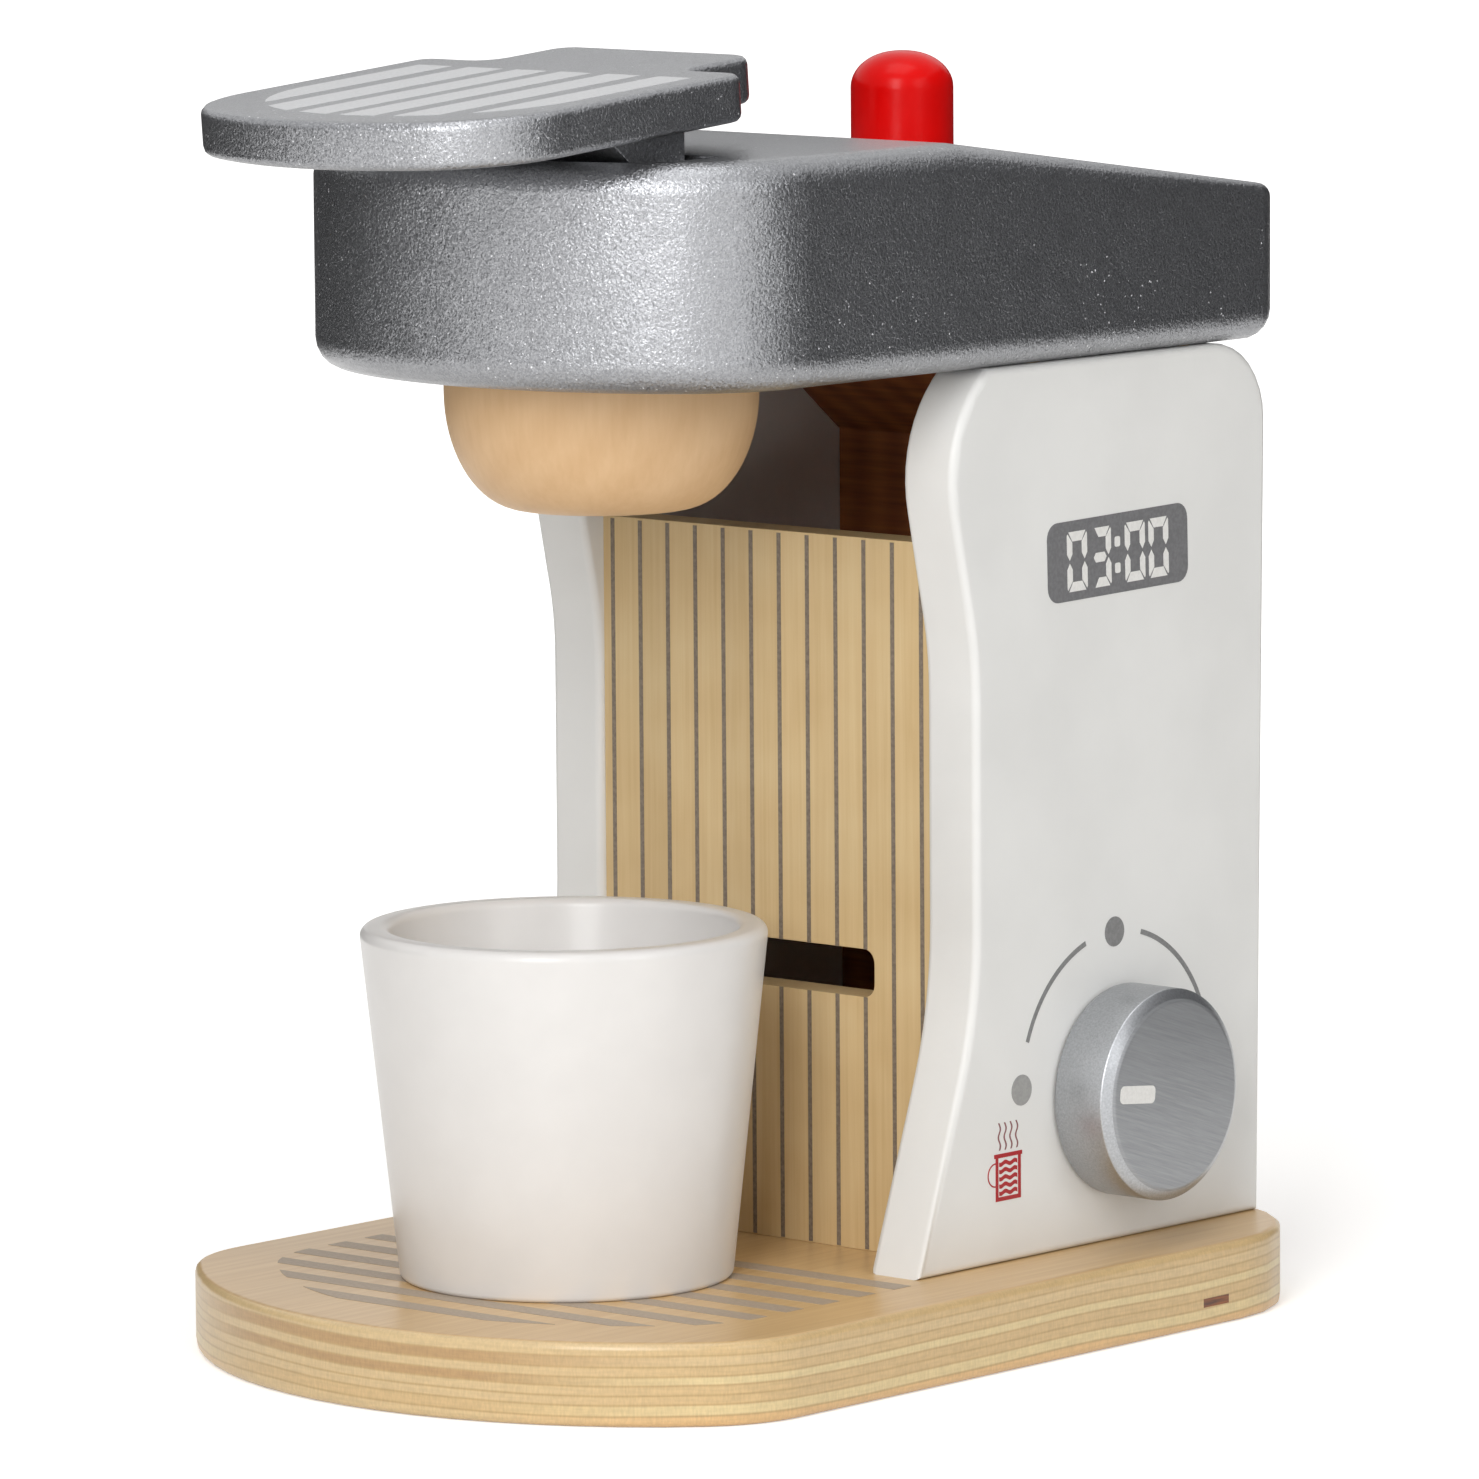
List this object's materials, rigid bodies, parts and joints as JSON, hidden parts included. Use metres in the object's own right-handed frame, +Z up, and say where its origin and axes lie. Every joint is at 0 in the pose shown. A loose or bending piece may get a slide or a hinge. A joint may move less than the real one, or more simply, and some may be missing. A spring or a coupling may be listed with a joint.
{
  "type": "toy coffee maker",
  "caption": "Wooden toy coffee maker with a rocking lid, a press button, a turned spout, a dial on the side, a slotted front panel and a loose cup on a plywood base.",
  "frame": {"origin": "middle of the underside of the base board, half way between its front and rear ends", "axes": "+Z up, front towards -Y, +X to the right of someone who faces the front"},
  "size_m": [0.1104, 0.1637, 0.1866],
  "materials": {
    "birch_ply": "clear lacquered birch plywood with plies open at the edge",
    "birch_panel": "lacquered birch plywood face with fine printed lines",
    "red_brown_ply": "stained red-brown plywood, satin",
    "white_paint": "white paint on wood, satin",
    "silver_paint": "silver flake paint on wood, semi-gloss, orange peel",
    "brushed_silver": "silver paint on a turned knob, fine brush marks",
    "dowel_wood": "plain beech dowel",
    "turned_beech": "turned light wood, clear lacquer",
    "red_lacquer": "glossy red lacquer on a turned button",
    "white_lacquer": "glossy white lacquer on a turned cup",
    "steel": "plain zinc-plated steel",
    "nylon": "plain white nylon washer"
  },
  "bodies": {
    "housing": {"base_board": "birch_ply", "left_side_panel": "white_paint", "right_side_panel": "white_paint", "front_panel": "birch_panel", "back_panel": "red_brown_ply", "corner_block": "red_brown_ply", "head_block": "silver_paint", "head_dowels": "dowel_wood", "base_screws": "steel", "hinge_pin": "steel", "pin_plug": "silver_paint", "spout_dome": "turned_beech", "spout_dowel": "dowel_wood", "button_spring": "steel"},
    "lid": {"lid_plate": "silver_paint", "lid_hinge_block": "silver_paint", "lid_dowels": "dowel_wood"},
    "button": {"push_button": "red_lacquer", "button_screw": "steel", "button_washer": "steel"},
    "knob": {"dial_knob": "brushed_silver", "knob_axle": "dowel_wood", "knob_washer": "nylon", "knob_collar": "dowel_wood"},
    "cup": {"cup": "white_lacquer"}
  },
  "joints": [
    {"name": "lid_rock", "type": "hinge", "parent": "housing", "child": "lid", "pos_m": [0, -0.04, 0.167], "axis": [-1, 0, 0], "range_deg": [0, 9.5]},
    {"name": "button_press", "type": "slide", "parent": "housing", "child": "button", "axis": [0, 0, -1], "range_m": [0, 0.005], "stiffness_N_per_m": 300, "springref_m": -0.003, "deforming": ["button_spring"]},
    {"name": "knob_turn", "type": "hinge", "parent": "housing", "child": "knob", "pos_m": [0.04125, 0.0426, 0.0343], "axis": [1, 0, 0], "continuous": true},
    {"name": "cup_slide", "type": "slide", "parent": "housing", "child": "cup", "axis": [0, -1, 0], "range_m": [0, 0.11]}
  ]
}
